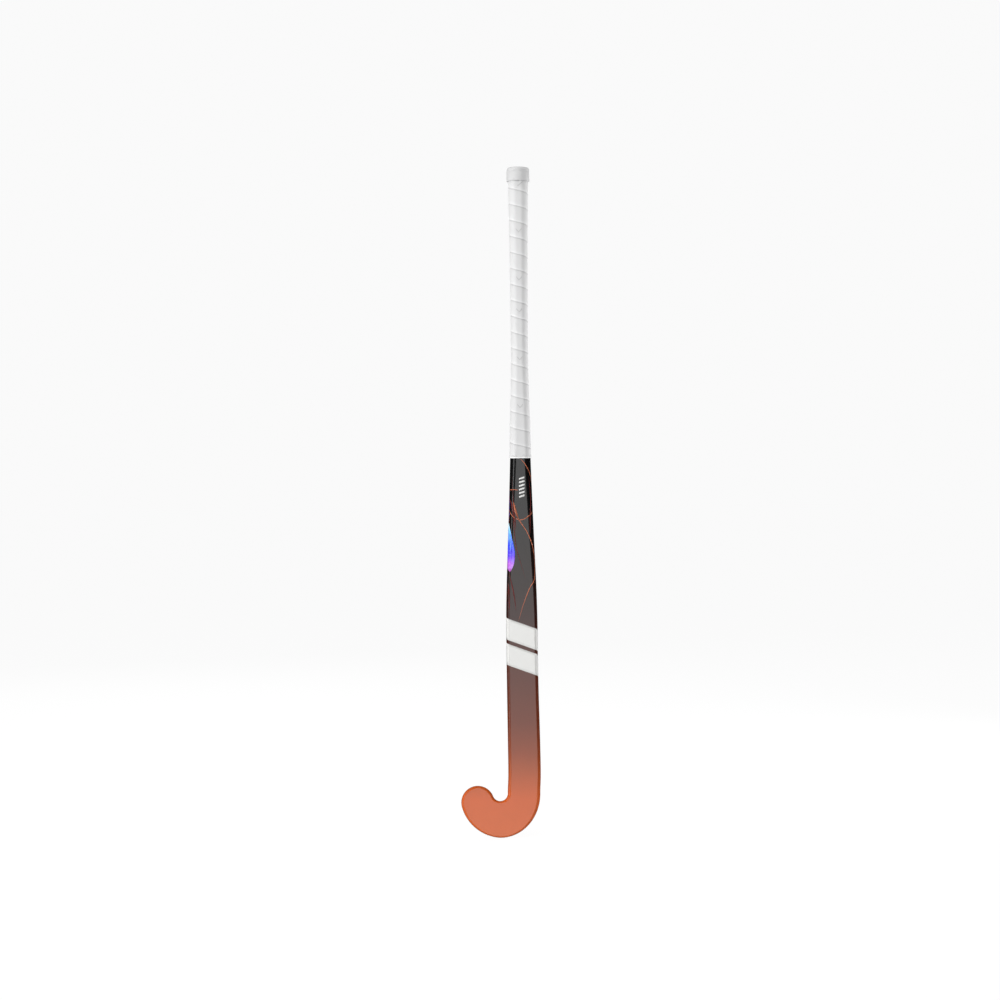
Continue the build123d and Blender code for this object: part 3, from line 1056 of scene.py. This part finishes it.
class HOCKEY_OT_ring(StickOperator, bpy.types.Operator):
    """Close the grip's lower end with the finishing ring"""

    bl_idname = "hockey.ring"
    bl_label = "Finishing ring"

    def execute(self, context):
        stick = self.stick(context)
        shape = context.scene.hockey_shape
        thick, height, edge = shape.ring_thickness, shape.ring_height, 0.45 * MM
        profile = [(0.06 * MM, 0.0), (thick - edge, 0.0)]
        profile += [(thick - edge + edge * sin(a), edge - edge * cos(a))
                    for a in (pi / 8, pi / 4, pi * 3 / 8, pi / 2)]
        profile += [
            (thick - edge + edge * cos(a), height - edge + edge * sin(a))
            for a in (0.0, pi / 8, pi / 4, pi * 3 / 8, pi / 2)
        ]
        profile += [(0.06 * MM, height), (0.06 * MM, 0.0)]
        columns = 112

        def place(i, j):
            lift, up = profile[j]
            distance = stick.grip_end + up
            size = stick.size_at(distance)
            section = half_section(size, lift)
            share = (i / columns + 0.5) % 1.0 - 0.5
            x, y = point_on(section, 2 * share * half_way_round(section) * 0.999999)
            return stick.along(distance, size[4]) @ Vector((x, y, 0.0))

        bm = grid(columns, len(profile) - 1, place)
        material = ring_rubber(context.scene.hockey_finish)
        finish_piece(bm, "ring_lip", material, ["finishing_ring"], merge=2e-6)
        return {"FINISHED"}


class HOCKEY_OT_cap(StickOperator, bpy.types.Operator):
    """Fit the rubber end cap over the butt"""

    bl_idname = "hockey.cap"
    bl_label = "End cap"

    def execute(self, context):
        stick = self.stick(context)
        shape = context.scene.hockey_shape
        r, crown, skirt = shape.cap_radius / MM, shape.cap_crown / MM, shape.cap_skirt / MM
        inner = Stick.BUTT[0] / 2 + 0.25
        fillet = 3.4
        outline = [(0.0, crown - 0.8), (9.0, crown - 0.8), (9.35, crown - 0.74), (9.6, crown - 0.5),
                   (9.75, crown - 0.2)]
        outline += [(10.1, crown - 0.03), (10.5, crown), (r - fillet - 0.15, crown - 0.02)]
        outline += [
            (r - fillet - 0.15 + fillet * sin(a), crown - fillet - 0.02 + fillet * cos(a))
            for a in (pi / 16 * n for n in range(1, 9))
        ]
        outline += [(r - 0.15, 0.6), (r - 0.32, 0.35), (r - 0.40, 0.0), (r - 0.32, -0.35), (r - 0.15, -0.6)]
        outline += [(r - 0.15, -skirt + 3.4), (r - 0.10, -skirt + 3.1), (r - 0.01, -skirt + 2.9),
                    (r, -skirt + 2.6)]
        outline += [(r, -skirt + 0.8), (r - 0.25, -skirt + 0.3), (r - 0.7, -skirt), (inner + 0.4, -skirt)]
        outline += [(inner, -skirt + 0.4), (inner, 0.25), (inner - 0.3, 0.25), (0.0, 0.25)]
        axis_place = stick.along(stick.butt) @ Matrix.Translation((0.0, Stick.BUTT[2] * MM / 2, 0.0))
        bm = bmesh.new()
        verts = [bm.verts.new((x * MM, 0.0, z * MM)) for x, z in outline]
        for a, b in zip(verts, verts[1:]):
            bm.edges.new((a, b))
        bmesh.ops.spin(
            bm, geom=bm.verts[:] + bm.edges[:], cent=(0, 0, 0), axis=(0, 0, 1), angle=2 * pi, steps=128,
            use_merge=True
        )
        bmesh.ops.transform(bm, matrix=axis_place, verts=bm.verts)
        finish = context.scene.hockey_finish
        finish_piece(bm, "butt_cap", cap_rubber(finish), ["end_cap"])
        return {"FINISHED"}


class HOCKEY_OT_inside(StickOperator, bpy.types.Operator):
    """Finish the pieces inside the stick"""

    bl_idname = "hockey.inside"
    bl_label = "Inside pieces"

    def execute(self, context):
        foam = closed_cell("Moulded foam", (0.52, 0.40, 0.20, 1.0), 900.0)
        light_foam = closed_cell("Light foam", (0.66, 0.62, 0.50, 1.0), 1400.0)
        plug = closed_cell("Dense plug", (0.05, 0.05, 0.055, 1.0), 2600.0)
        weave = woven_laminate()
        tape = adhesive_film()
        finishes = {
            "head_core": foam, "handle_plug": plug, "grip_adhesive": tape,
            "toe_side_inner_tube": weave, "heel_side_inner_tube": weave,
            "toe_side_foam_core": light_foam, "heel_side_foam_core": light_foam,
        }
        for name, material in finishes.items():
            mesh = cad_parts[name].data
            mesh.materials.clear()
            mesh.materials.append(material)
        return {"FINISHED"}


class HOCKEY_OT_studio(StickOperator, bpy.types.Operator):
    """Set up the floor, the lights and the camera"""

    bl_idname = "hockey.studio"
    bl_label = "Studio"

    def execute(self, context):
        scene = context.scene
        scene.view_settings.view_transform = "Standard"
        material, n, shader = start_material("Studio floor", **{
            "Base Color": (0.06, 0.06, 0.06, 1.0), "Roughness": 0.9, "Emission Color": (1.0, 1.0, 1.0, 1.0),
            "Emission Strength": 0.945, "Specular IOR Level": 0.0,
        })
        bm = bmesh.new()
        bmesh.ops.create_circle(bm, cap_ends=True, segments=96, radius=90.0)
        mesh = bpy.data.meshes.new("floor")
        bm.to_mesh(mesh)
        bm.free()
        mesh.materials.append(material)
        floor = bpy.data.objects.new("floor", mesh)
        scene.collection.objects.link(floor)
        floor.visible_glossy = False

        world = bpy.data.worlds.new("Studio")
        scene.world = world
        world.use_nodes = True
        world.node_tree.nodes.clear()
        n = Nodes(world.node_tree)
        rays = n.add("ShaderNodeLightPath").outputs
        seen = n.mix(rays["Is Camera Ray"], (0.16, 0.16, 0.16, 1.0), (0.955, 0.955, 0.955, 1.0))
        sky = n.mix(rays["Is Glossy Ray"], seen, (0.012, 0.012, 0.012, 1.0))
        background = n.add("ShaderNodeBackground", {"Color": sky})
        out = n.add("ShaderNodeOutputWorld")
        world.node_tree.links.new(background.outputs[0], out.inputs["Surface"])

        for name, place, aim, size, watts, mirrored in (
            ("Front panel", (0.0, -0.75, 0.42), (0.0, 0.0, 0.42), (0.20, 1.30), 1.25, True),
            ("Left strip", (-1.15, -0.70, 0.55), (0.0, 0.0, 0.50), (0.30, 1.50), 3.6, True),
            ("Left key", (-1.7, -1.5, 1.5), (0.0, 0.0, 0.45), (1.0, 1.0), 38.0, False),
            ("Left low", (-1.3, -0.4, 0.2), (0.0, 0.0, 0.15), (0.5, 0.5), 5.0, False),
            ("Right edge", (1.4, 0.60, 0.45), (0.0, 0.0, 0.38), (0.4, 1.6), 32.0, False),
            ("Top", (0.1, -0.3, 2.3), (0.0, 0.0, 0.5), (0.8, 0.8), 16.0, False),
            ("Back light", (-0.8, 1.9, 1.6), (0.0, 0.0, 0.5), (1.2, 1.2), 22.0, False),
        ):
            lamp = bpy.data.lights.new(name, "AREA")
            lamp.shape = "RECTANGLE"
            lamp.size, lamp.size_y = size
            lamp.energy = watts
            light = bpy.data.objects.new(name, lamp)
            light.location = place
            light.rotation_euler = (Vector(aim) - Vector(place)).to_track_quat("-Z", "Y").to_euler()
            light.visible_camera = False
            light.visible_glossy = mirrored
            scene.collection.objects.link(light)

        camera = bpy.data.cameras.new("Camera")
        camera.lens = 62.15
        camera.clip_end = 300.0
        seat = bpy.data.objects.new("Camera", camera)
        seat.location = (0.0022, -2.40, 0.4667)
        seat.rotation_euler = (radians(90.0), radians(0.53), 0.0)
        scene.collection.objects.link(seat)
        scene.camera = seat
        return {"FINISHED"}


class HOCKEY_PT_panel(bpy.types.Panel):
    """Lists the pieces of the stick"""

    bl_idname = "HOCKEY_PT_panel"
    bl_label = "Field hockey stick"
    bl_space_type = "VIEW_3D"
    bl_region_type = "UI"
    bl_category = "Hockey stick"

    def draw(self, context):
        for operator in OPERATORS:
            self.layout.operator(operator.bl_idname)
        scene = context.scene
        for group in (scene.hockey_shape, scene.hockey_winding, scene.hockey_transfers, scene.hockey_finish):
            box = self.layout.box()
            for name in group.__annotations__:
                box.prop(group, name)


GROUPS = (StickShape, GripWinding, Transfers, StickFinish)
OPERATORS = (
    HOCKEY_OT_body, HOCKEY_OT_transfers, HOCKEY_OT_grip, HOCKEY_OT_ring, HOCKEY_OT_cap, HOCKEY_OT_inside,
    HOCKEY_OT_studio,
)


def register():
    """Register the classes and attach the properties to the scene."""
    for cls in (*GROUPS, *OPERATORS, HOCKEY_PT_panel):
        bpy.utils.register_class(cls)
    bpy.types.Scene.hockey_shape = PointerProperty(type=StickShape)
    bpy.types.Scene.hockey_winding = PointerProperty(type=GripWinding)
    bpy.types.Scene.hockey_transfers = PointerProperty(type=Transfers)
    bpy.types.Scene.hockey_finish = PointerProperty(type=StickFinish)


def unregister():
    """Take the properties and the classes away again."""
    del bpy.types.Scene.hockey_shape
    del bpy.types.Scene.hockey_winding
    del bpy.types.Scene.hockey_transfers
    del bpy.types.Scene.hockey_finish
    for cls in reversed((*GROUPS, *OPERATORS, HOCKEY_PT_panel)):
        bpy.utils.unregister_class(cls)


def main():
    """Build the stick and its studio."""
    register()
    for operator in OPERATORS:
        area, name = operator.bl_idname.split(".")
        getattr(getattr(bpy.ops, area), name)()


if __name__ == "__main__":
    main()
